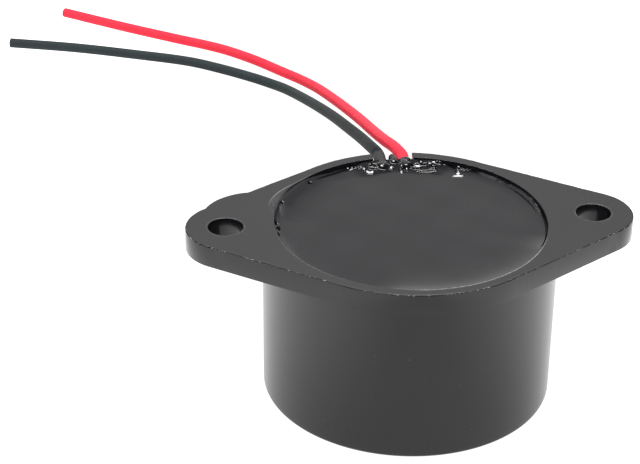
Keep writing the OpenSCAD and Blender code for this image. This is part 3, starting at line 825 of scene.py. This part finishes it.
spread = step(
    flash_tree, "GeometryNodeInstanceOnPoints",
    {"Points": nudged, "Instance": crumb, "Rotation": spin, "Scale": size},
)
finish_tree(flash_tree, spread, have["Material"], ends)
print("flash tree nodes:", len(flash_tree.nodes))

# %% Grow the crumbs of flash
FLASH_Z, FLASH_INSET, FLASH_FROM, FLASH_TO = 18.735, 0.06, 186, 356
front_turns = [t for t in turns if FLASH_FROM < math.degrees(t) < FLASH_TO]
flash_reach = [flange_reach(t, FLASH_INSET) for t in front_turns]
flash_line = [
    (r * math.cos(t) * MM, r * math.sin(t) * MM, FLASH_Z * MM) for r, t in zip(flash_reach, front_turns)
]
flash = Finish("trimmed_flash")
# Painted highlight: many crumbs are coloured pale to stand for the sparks of light they catch.
crumb_sparkle = flash.fade(flash.speckle(0.5, 2.0), 0.35, 0.65)
flash_tone = flash.mix(crumb_sparkle, (0.02, 0.02, 0.022), (0.6, 0.6, 0.6))
crumb_finish = flash.done(flash_tone, 0.3 + 0.2 * flash.speckle(0.2), flash.speckle(0.05), 0.005)
edge_flash = grow(
    "edge_flash", thread("edge_flash", flash_line), flash_tree,
    {"Gap": 0.22 * MM, "Crumb": 0.045 * MM, "Dropped": 0.45, "Seed": 11, "Material": crumb_finish},
)
settle(edge_flash, "case_plastic")

# %% [markdown]
# ## The resin
# Black resin was poured in from the back until it nearly reached the rim. It climbed the
# wall on the left and along the front, shrank away from it on the right, and set in glossy
# drips where the leads go out. A pool like this is a height for every place, so it is a
# round grid whose heights come from one function, fine near the wall and the leads, and
# coarse in the middle. Sculpting would give the same look but couldn't be repeated by a
# script.

# %% Places of the drips, in millimetres
POOL_Z = 18.2
drops = [
    # x, y, half width, half depth, turn in degrees, height of the foot
    (-2.76, 11.51, 0.41, 0.25, 0, 0.02), (-3.30, 12.07, 0.19, 0.16, 25, 0.04),
    (-2.66, 12.61, 0.17, 0.20, -10, 0.06), (-2.55, 12.16, 0.24, 0.16, -25, 0.05),
    (-2.13, 12.68, 0.16, 0.25, 20, 0.06), (-2.07, 12.11, 0.12, 0.10, 0, 0.04),
    (-3.77, 12.51, 0.25, 0.10, 15, 0.03), (-4.98, 12.61, 0.10, 0.07, 0, 0.02),
    (-4.58, 12.68, 0.10, 0.07, 0, 0.02), (-4.23, 12.66, 0.10, 0.07, 0, 0.02),
    (-0.91, 13.22, 0.13, 0.16, 20, 0.05), (-1.16, 12.50, 0.10, 0.12, 0, 0.05),
    (-1.20, 12.05, 0.14, 0.12, 0, 0.04), (-0.39, 12.16, 0.19, 0.18, -35, 0.05),
    (0.63, 11.79, 0.14, 0.37, 0, 0.05), (0.57, 11.30, 0.16, 0.13, 0, 0.02),
    (1.16, 12.17, 0.18, 0.50, 8, 0.06), (1.06, 12.57, 0.15, 0.17, 0, 0.06),
    (1.29, 11.98, 0.13, 0.20, 0, 0.04), (1.68, 12.46, 0.30, 0.16, 12, 0.06),
    (2.31, 12.04, 0.47, 0.22, 2, 0.04), (2.43, 12.64, 0.26, 0.10, 0, 0.05),
    (2.89, 12.67, 0.12, 0.26, 8, 0.05), (3.29, 12.56, 0.32, 0.13, 0, 0.05),
    (3.74, 12.22, 0.19, 0.34, 0, 0.06), (4.12, 12.02, 0.31, 0.12, 0, 0.05),
    (3.36, 11.39, 0.93, 0.13, -2, 0.02), (4.22, 11.62, 0.18, 0.17, 25, 0.03),
    (4.59, 12.72, 0.15, 0.17, 0, 0.04), (4.94, 12.64, 0.19, 0.12, -8, 0.04),
    (6.71, 11.59, 0.18, 0.20, 0, 0.06), (6.56, 10.92, 0.14, 0.25, 0, 0.04),
    (6.51, 10.47, 0.23, 0.16, 0, 0.03), (6.46, 10.06, 0.61, 0.14, 0, 0.01),
    (6.99, 11.47, 0.10, 0.09, 0, 0.05), (7.26, 11.35, 0.10, 0.09, 0, 0.05),
    (7.60, 11.24, 0.10, 0.09, 0, 0.05), (10.53, 8.41, 0.11, 0.09, 0, 0.03),
    (11.48, 7.35, 0.11, 0.09, 0, 0.03), (12.78, 3.71, 0.08, 0.08, 0, 0.03),
    (-13.67, -1.79, 0.12, 0.12, 0, 0.03), (-13.86, -1.25, 0.08, 0.09, 0, 0.03),
]
mounds = [
    # x, y, half width, half depth, turn in degrees, height
    (-1.3, 12.85, 0.95, 0.9, 0, 0.5), (1.25, 12.85, 0.95, 0.95, 0, 0.5), (0.0, 13.5, 0.7, 0.6, 0, 0.5),
]
pits = [
    # x, y, half width, half depth, turn in degrees, depth
    (-13.76, 1.4, 0.1, 0.45, 18, 0.4), (-13.52, 0.6, 0.24, 0.6, 8, 0.55), (-13.6, -0.75, 0.1, 0.45, 20, 0.38),
    (-13.56, -2.1, 0.08, 0.35, 24, 0.3), (-9.39, 9.26, 0.15, 0.2, 0, 0.4), (-12.7, 4.95, 0.16, 0.18, 0, 0.35),
]
GLINT, DROP_FALL = 0.39, 1.8
BANK_SLOPE, BANK_FOOT = 0.17, 2.35
print("drops:", len(drops), "mounds:", len(mounds), "pits:", len(pits))


# %% Soft shapes over the plane
def lumpy(x, y, size, seed):
    """Smooth random values from -1 to 1 over the plane, with lumps of one size."""
    table = np.random.RandomState(seed).rand(64, 64) * 2 - 1
    i, j = np.floor(x / size).astype(int), np.floor(y / size).astype(int)
    a, b = x / size - i, y / size - j
    a, b = a * a * (3 - 2 * a), b * b * (3 - 2 * b)
    low = table[i % 64, j % 64] * (1 - a) + table[(i + 1) % 64, j % 64] * a
    high = table[i % 64, (j + 1) % 64] * (1 - a) + table[(i + 1) % 64, (j + 1) % 64] * a
    return low * (1 - b) + high * b


def ease(value):
    """0 below 0, 1 above 1, smooth between."""
    value = np.clip(value, 0, 1)
    return value * value * (3 - 2 * value)


def between(turn, low, high, soft):
    """1 from one direction to another in degrees, with soft ends."""
    middle, half = (low + high) / 2, (high - low) / 2
    away = np.abs((turn - middle + 180) % 360 - 180)
    return ease((half - away) / soft + 0.5)


# %% [markdown]
# ### Drips and climbs
# A drip shows as a white spark where its front slopes by about 21 degrees, because it then
# mirrors the lamp overhead. So each drop is a small wedge of that slope on a low bank. The
# climbs along the wall and the pits at the left are added to the same height, which keeps
# the pool one closed skin. Lumpy plugs then follow the leads into their slots. Bump alone
# would leave the exported mesh flat.

# %% Drips around the leads, in millimetres
def oval(x, y, row):
    """Distance from the middle of an oval, 1 on its edge, and the place across its depth."""
    px, py, wide, deep, twist = row[:5]
    c, s = math.cos(math.radians(twist)), math.sin(math.radians(twist))
    u, v = ((x - px) * c + (y - py) * s) / wide, ((y - py) * c - (x - px) * s) / deep
    return np.hypot(u, v), v


def drip_height(x, y):
    """A low bank of resin around the leads, with drops whose fronts slope gently down."""
    rag_x, rag_y = x + 0.035 * lumpy(x, y, 0.4, seed=21), y + 0.05 * lumpy(x, y, 0.4, seed=23)
    turn, to_wall = np.degrees(np.arctan2(y, x)), POT_R - np.hypot(x, y)
    to_foot = BANK_FOOT + 0.25 * lumpy(x, y, 1.1, seed=25) - to_wall
    total = between(turn, 68, 108, 10) * BANK_SLOPE * (to_foot + np.hypot(to_foot, 0.2)) / 2
    for row in mounds:
        total = np.maximum(total, row[5] * np.clip(1 - oval(x, y, row)[0] ** 2, 0, None) ** 0.6)
    bank = total
    for row in drops:
        reach, v = oval(rag_x, rag_y, row)
        fall = DROP_FALL * np.clip(reach - 1, 0, None) * min(row[2], row[3])
        drop = bank + row[5] + GLINT * (1 + v) * row[3] - fall
        total = np.where(reach < 3, np.maximum(total, drop), total)
    return total


# %% Climbs along the wall, in millimetres
def creep(place, height, reach, low, high, soft):
    """A rise between two directions that dies away from the wall."""
    turn, to_wall = place
    return height * between(turn, low, high, soft) * np.exp(-to_wall / reach)


def ledge(place, height, reach, low, high, soft):
    """A rise between two directions that ends at a distance from the wall."""
    turn, to_wall = place
    return height * between(turn, low, high, soft) * np.clip(1 - to_wall / reach, 0, None) ** 2


# %% Height of the resin, in millimetres
CLIMB_H, CLIMB_SLOPE, CLIMB_RUN = 0.31, 0.34, 0.91
RIPPLE, LEFT_SAG, STEP_H, SHRINK, RIM_GAP = 0.012, 0.1, 0.14, 0.3, 0.03


def pool_height(x, y):
    """Height of the resin over the table."""
    turn, to_wall = np.degrees(np.arctan2(y, x)) % 360, np.clip(POT_R - np.hypot(x, y), 0, None)
    place = turn, to_wall
    height = POOL_Z + RIPPLE * np.sin(0.9 * x + 1.3) * np.sin(0.8 * y - 0.4)
    height -= LEFT_SAG * ease((-3 - x) / 7)
    away, close = CLIMB_H * np.exp(-(to_wall - 1) / CLIMB_RUN), CLIMB_H + CLIMB_SLOPE * (1 - to_wall)
    left_climb = np.where(to_wall > 1, away, close) * between(turn, 130, 164, 20)
    left_edge = creep(place, height=0.56, reach=0.3, low=146, high=205, soft=20)
    height += np.maximum(left_climb, left_edge)
    height += ledge(place, height=0.16, reach=2.4, low=112, high=134, soft=12)
    rough_strip = 0.17 + 0.03 * lumpy(x, y, 0.35, seed=41)
    height += ledge(place, rough_strip, reach=1.6, low=5, high=70, soft=25)
    step_up = between(turn, 8, 32, 14) + between(turn, 112, 128, 10)
    height += STEP_H * step_up * ease((0.64 - to_wall) / 0.16)
    height += creep(place, height=0.1, reach=0.3, low=195, high=265, soft=20)
    height += creep(place, height=0.48, reach=1.6, low=254, high=338, soft=18)
    height -= SHRINK * between(turn, 336, 372, 12) * ease((0.22 - to_wall) / 0.1)
    rag_x, rag_y = x + 0.06 * lumpy(x, y, 0.3, seed=31), y + 0.1 * lumpy(x, y, 0.3, seed=33)
    for row in pits:
        height -= row[5] * np.clip(1.3 - oval(rag_x, rag_y, row)[0], 0, 1)
    height += drip_height(x, y)
    soft_top = 0.03 + 0.09 * between(turn, 60, 205, 20)
    top = BODY_H - RIM_GAP
    over = np.clip(height - (top - soft_top), 0, None)
    return np.where(over > 0, top - soft_top + soft_top * (1 - np.exp(-over / soft_top)), height)


pool_middle = float(pool_height(np.array([0.0]), np.array([0.0]))[0])
print("resin height at the middle:", round(pool_middle, 3))

# %% Grid of the resin pool
pool_turns = directions(lambda place: 0.2 if 52 < place < 114 else (0.5 if 114 <= place < 200 else 1.0))
pool_radii = [0.6, 1.5, 2.5, 3.5, 4.5, 5.5, 6.5, 7.4, 8.2, 8.9, 9.3]
pool_radii += list(np.arange(9.5, 10.85, 0.09)) + list(np.arange(10.9, 13.75, 0.04)) + [13.78, POT_R]
pool_foot = ((13.79, 17.0), (13.79, 13.3), (13.7, 13.22))
cos_t, sin_t = np.cos(pool_turns), np.sin(pool_turns)
pool = bmesh.new()
middle = pool.verts.new((0, 0, pool_middle * MM))
rings = []
for radius in pool_radii:
    x, y = radius * cos_t, radius * sin_t
    z = pool_height(x, y)
    rings.append([pool.verts.new((a * MM, b * MM, c * MM)) for a, b, c in zip(x, y, z)])
for radius, z in pool_foot:
    rings.append([pool.verts.new((radius * c * MM, radius * s * MM, z * MM)) for c, s in zip(cos_t, sin_t)])
for i in range(len(pool_turns)):
    j = (i + 1) % len(pool_turns)
    pool.faces.new((middle, rings[0][i], rings[0][j]))
    for low, high in zip(rings, rings[1:]):
        pool.faces.new((low[i], high[i], high[j], low[j]))
pool.faces.new(list(reversed(rings[-1])))
print("resin grid:", len(pool_turns), "by", len(rings))


# %% Resin that crept along the leads
def collar(middle_x, near_y, far_y, middle_z, coat_near, coat_far, seed, sides=36):
    """A lumpy plug of resin along a lead, flattened where it would stand above the rim."""
    loops = []
    for y in np.append(np.arange(near_y, far_y, 0.08), far_y):
        part = (y - near_y) / (far_y - near_y)
        round_off = math.sqrt(max(0.02, 1 - max(0.0, (part - 0.8) / 0.2, (0.45 - part) / 0.45) ** 2))
        coat = (coat_near + (coat_far - coat_near) * part) * round_off
        loop = []
        for s in range(sides):
            a = 2 * math.pi * s / sides
            r = coat * (1 + 0.04 * float(lumpy(np.array([3 * a]), np.array([3 * y]), 1.1, seed)[0]))
            spot_z = min(middle_z + r * math.sin(a), BODY_H - 0.02)
            loop.append(((middle_x + r * math.cos(a)) * MM, y * MM, spot_z * MM))
        loops.append(loop)
    rows = skin_loops(pool, loops)
    pool.faces.new(rows[0])
    pool.faces.new(list(reversed(rows[-1])))


collar(-1.32, 12.8, 14.6, middle_z=17.62, coat_near=0.85, coat_far=0.8, seed=4)
collar(1.33, 12.8, 14.45, middle_z=17.92, coat_near=0.8, coat_far=0.78, seed=8)
collar(0.16, 13.0, 14.85, middle_z=18.2, coat_near=0.5, coat_far=0.42, seed=6)
resin_pool = plain_object("resin_pool", mesh_from(pool, "resin_pool"))
resin_pool.data.shade_smooth()
crisp(resin_pool, 65)

# %% [markdown]
# ### Cast resin
# Cured resin is almost black and glossy, with a skin that is a little duller in the middle,
# broad shallow waves, and a few dust grains that settled before it set. The drips by the
# leads are the glossiest.

# %% Resin finish
cast = Finish("cast_black_resin")
waves = cast.speckle(7.0, 1.0)
skin = cast.speckle(0.35, 2.0)
specks = cast.fade(cast.speckle(0.25, 1.0), 0.76, 0.82)
drip_zone = cast.fade(cast.y, 9.5, 11.5)
cast_tone = cast.mix(waves, (0.0026, 0.0024, 0.004), (0.0045, 0.0042, 0.0062))
cast_tone = cast.mix(0.12 * specks, cast_tone, (0.14, 0.14, 0.15))
cast_dull = 0.22 + 0.06 * waves + 0.03 * skin - 0.17 * drip_zone
cast_relief = 0.7 * waves + 0.03 * skin + 0.05 * specks
resin_black = cast.done(cast_tone, cast_dull, cast_relief, 0.03)
dress(resin_pool, resin_black)
settle(resin_pool, "resin", "potting")

# %% [markdown]
# ## The coil inside
# A small step-up coil hangs under the circuit board. The CAD solid is a smooth tube, while
# the real winding is enamelled wire laid turn by turn. A spiral is a rule, so a tree makes
# it: one helix swept with a round wire, over a plain former that closes the gaps.

# %% Tree that winds a coil
coil_tree, have, ends = new_tree("coil_turns", {
    "Wire": "Float", "Radius": "Float", "Height": "Float", "Turns": "Float", "Base": "Vector",
    "Material": "Material",
})


def lift_up(geometry, height):
    """The geometry, moved up."""
    way = step(coil_tree, "ShaderNodeCombineXYZ", {2: height})
    return step(coil_tree, "GeometryNodeTransform", {"Geometry": geometry, "Translation": way})


half_wire = tree_sum(coil_tree, "MULTIPLY", have["Wire"], 0.5)
inner = tree_sum(coil_tree, "SUBTRACT", have["Radius"], half_wire)
climb = tree_sum(coil_tree, "SUBTRACT", have["Height"], have["Wire"])
helix = step(coil_tree, "GeometryNodeCurveSpiral", {
    "Resolution": 48, "Rotations": have["Turns"], "Start Radius": inner, "End Radius": inner, "Height": climb,
})
wire_ring = step(coil_tree, "GeometryNodeCurvePrimitiveCircle", {"Resolution": 7, "Radius": half_wire})
wound = step(
    coil_tree, "GeometryNodeCurveToMesh", {"Curve": helix, "Profile Curve": wire_ring, "Fill Caps": True}
)
former = step(
    coil_tree, "GeometryNodeMeshCylinder", {"Vertices": 64, "Radius": inner, "Depth": have["Height"]}
)
half_height = tree_sum(coil_tree, "MULTIPLY", have["Height"], 0.5)
both = step(coil_tree, "GeometryNodeJoinGeometry")
for geometry, height in ((former, half_height), (wound, half_wire)):
    coil_tree.links.new(lift_up(geometry, height).outputs[0], both.inputs[0])
placed = step(coil_tree, "GeometryNodeTransform", {"Geometry": both, "Translation": have["Base"]})
finish_tree(coil_tree, placed, have["Material"], ends)
print("coil tree nodes:", len(coil_tree.nodes))

# %% Wind the coil
COIL_WIRE = 0.2
copper_wire = metal_finish("enamelled_copper", (0.72, 0.3, 0.12), (0.42, 0.14, 0.05), rough=0.22, size=0.3)
low, high = (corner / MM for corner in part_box("coil_winding"))
coil_turns = grow("coil_turns", bpy.data.meshes.new("coil_turns"), coil_tree, {
    "Wire": COIL_WIRE * MM, "Radius": (high.x - low.x) / 2 * MM, "Height": (high.z - low.z) * MM,
    "Turns": (high.z - low.z) / COIL_WIRE - 1, "Material": copper_wire,
    "Base": Vector(((low.x + high.x) / 2, (low.y + high.y) / 2, low.z)) * MM,
})
crisp(coil_turns, 60)
settle(coil_turns, "copper", "coil_winding")

# %% [markdown]
# ## Finishes of the other inner parts
# The sounding disc, the board and its parts keep their CAD shapes and only need their own
# materials. Metals share one recipe. The others are short recipes with a pattern that the
# real stuff has: fibres in the board, pressed grain in the ceramic and ferrite, colour
# rings on the resistors.

# %% Metals of the disc and the board
solder = metal_finish("bright_solder", (0.66, 0.66, 0.68), (0.45, 0.45, 0.46), 0.16, 0.6, 0.012)
brass = metal_finish("rolled_brass", (0.78, 0.57, 0.22), (0.6, 0.4, 0.14), 0.22, 0.3, 0.003, (0.06, 1, 1))
silver = metal_finish("silver_film", (0.78, 0.78, 0.77), (0.6, 0.59, 0.56), 0.42, 0.12, 0.004)
copper = metal_finish("bare_copper", (0.75, 0.36, 0.19), (0.5, 0.2, 0.1), 0.28, 0.4)
print("metals:", [m.name for m in (solder, brass, silver, copper)])


# %% Pressed, moulded and poured stuff
def matt_finish(name, pale, deep, rough, size, depth, stretch=(1, 1, 1)):
    """Dull stuff: two close colours in grains of one size, with a matching bump."""
    skin = Finish(name)
    grains = skin.speckle(size, 3.0, stretch=stretch)
    clouds = skin.speckle(size * 8, 2.0)
    return skin.done(skin.mix(0.6 * grains + 0.4 * clouds, deep, pale), rough + 0.15 * clouds, grains, depth)


ceramic = matt_finish("fired_ceramic", (0.78, 0.72, 0.58), (0.62, 0.55, 0.42), 0.55, 0.1, 0.006)
ferrite = matt_finish("sintered_ferrite", (0.06, 0.058, 0.056), (0.028, 0.027, 0.027), 0.6, 0.15, 0.01)
epoxy = matt_finish("moulded_epoxy", (0.026, 0.026, 0.028), (0.014, 0.014, 0.015), 0.48, 0.12, 0.006)
laminate = matt_finish("board_laminate", (0.46, 0.27, 0.1), (0.3, 0.15, 0.05), 0.5, 0.3, 0.008, (0.12, 1, 1))
adhesive = matt_finish("cured_adhesive", (0.78, 0.78, 0.74), (0.62, 0.61, 0.57), 0.3, 0.8, 0.02)
white_jacket = matt_finish("white_wire_jacket", (0.84, 0.84, 0.81), (0.7, 0.7, 0.67), 0.38, 0.2, 0.006)
print("dull finishes:", [m.name for m in (ceramic, ferrite, epoxy, laminate, adhesive, white_jacket)])

# %% Resistors with colour rings
lacquer = Finish("resistor_lacquer")
body_tone = lacquer.mix(lacquer.speckle(0.4, 2.0), (0.52, 0.37, 0.2), (0.66, 0.5, 0.29))
BEIGE = (0.6, 0.45, 0.26)
ring_tones = [
    (0.0, BEIGE), (0.15, (0.2, 0.08, 0.02)), (0.24, BEIGE), (0.36, (0.02, 0.02, 0.02)), (0.45, BEIGE),
    (0.57, (0.75, 0.33, 0.03)), (0.66, BEIGE), (0.8, (0.55, 0.36, 0.08)), (0.89, BEIGE),
]
ring_start, ring_stop = (corner.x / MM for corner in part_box("bias_resistor"))
along_body = (lacquer.x - ring_start) * (1 / (ring_stop - ring_start))
ramp = {"stops": ring_tones, "interpolation": "CONSTANT"}
painted = along_body.node("ShaderNodeValToRGB", ramp, {0: along_body})
on_ring = lacquer.mix(lacquer.speckle(0.3, 2.0) * 0.4, painted, body_tone)
resistor_coat = lacquer.done(on_ring, 0.22 + 0.1 * lacquer.speckle(0.5), lacquer.speckle(0.6), 0.02)
print("resistor rings:", len(ring_tones) // 2)

# %% Hand the finishes out
finish_of = {
    "red_tail": red_jacket, "black_tail": black_jacket, "lead_cores": tinned, "diaphragm_plate": brass,
    "piezo_ceramic": ceramic, "main_electrode": silver, "feedback_electrode": silver,
    "disc_adhesive": adhesive, "disc_solder": solder, "main_wire": white_jacket,
    "feedback_wire": white_jacket, "ground_wire": white_jacket, "circuit_board": laminate,
    "board_pads": copper, "board_solder": solder, "coil_core": ferrite, "coil_pins": tinned,
    "transistor_body": epoxy, "transistor_legs": tinned, "bias_resistor": resistor_coat,
    "base_resistor": resistor_coat, "resistor_wires": tinned, "diode_body": epoxy, "diode_wires": tinned,
}
for node, material in finish_of.items():
    dress(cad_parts[node], material)
print("inner parts dressed:", len(finish_of))

# %% [markdown]
# ## Floor and light
# The buzzer stands on a white table in a white tent, so light comes from everywhere and
# black plastic shows mostly what it mirrors: pale at a slant, dark face on. The sky is
# white and brightest at the back, and the floor glows as lit acrylic does, less in a band
# under the buzzer. Two lamps high up put sparks on the glossy drips. A third in front lights
# the dull leads and is left out of mirrored light, so the black parts don't show it.

# %% White floor
floor_mesh = bpy.data.meshes.new("white_floor")
floor_mesh.from_pydata([(-2, -2, 0), (2, -2, 0), (2, 2, 0), (-2, 2, 0)], [], [(0, 1, 2, 3)])
floor = plain_object("white_floor", floor_mesh)
acrylic = Finish("lit_acrylic")
acrylic_tone = acrylic.mix(acrylic.speckle(30.0, 2.0), (0.05, 0.05, 0.05), (0.06, 0.06, 0.06))
to_side = acrylic.x.maths("ABSOLUTE", acrylic.x, 0.0)
lit = acrylic.mix(acrylic.fade(to_side, 8.0, 40.0), (0.63, 0.63, 0.63), (1.0, 1.0, 1.0))
acrylic.tree.links.new(lit.socket, acrylic.shader.inputs["Emission Color"])
glow = {"Emission Strength": 1.66, "Specular IOR Level": 0.0}
dress(floor, acrylic.done(acrylic_tone, 0.9, fixed=glow))
print("floor:", floor.name)

# %% White tent
SKY_LOW, SKY_BACK = 0.12, 0.95
scene = bpy.context.scene
scene.view_settings.view_transform = "Standard"
tent = bpy.data.worlds.new("white_tent")
scene.world = tent
tent.use_nodes = True
sky = Flow(tent.node_tree, tent.node_tree.nodes.new("ShaderNodeTexCoord").outputs["Generated"])
back_way = sky.maths("MAXIMUM", sky.part(1), 0.0)
strength = SKY_LOW + SKY_BACK * back_way**4.0
tent.node_tree.links.new(strength.socket, tent.node_tree.nodes["Background"].inputs["Strength"])
tent.node_tree.nodes["Background"].inputs["Color"].default_value = (1, 1, 1, 1)
print("sky:", tent.name)


# %% Lamps
RESIN_MIDDLE = Vector((0, 0.01, 0.018))


def lamp(name, place, size, watts):
    """A square lamp that faces the resin."""
    light = bpy.data.lights.new(name, "AREA")
    light.shape, light.size, light.energy = "SQUARE", size, watts
    made = bpy.data.objects.new(name, light)
    made.location = place
    made.rotation_euler = (RESIN_MIDDLE - Vector(place)).to_track_quat("-Z", "Y").to_euler()
    scene.collection.objects.link(made)
    return made


lamp("lamp_over", (0.05, 0.2, 0.55), size=0.2, watts=3.4)
lamp("lamp_left", (-0.35, 0.1, 0.5), size=0.15, watts=0.8)
lamp("lamp_front", (-0.1, -0.4, 0.35), size=0.4, watts=2.1).visible_glossy = False
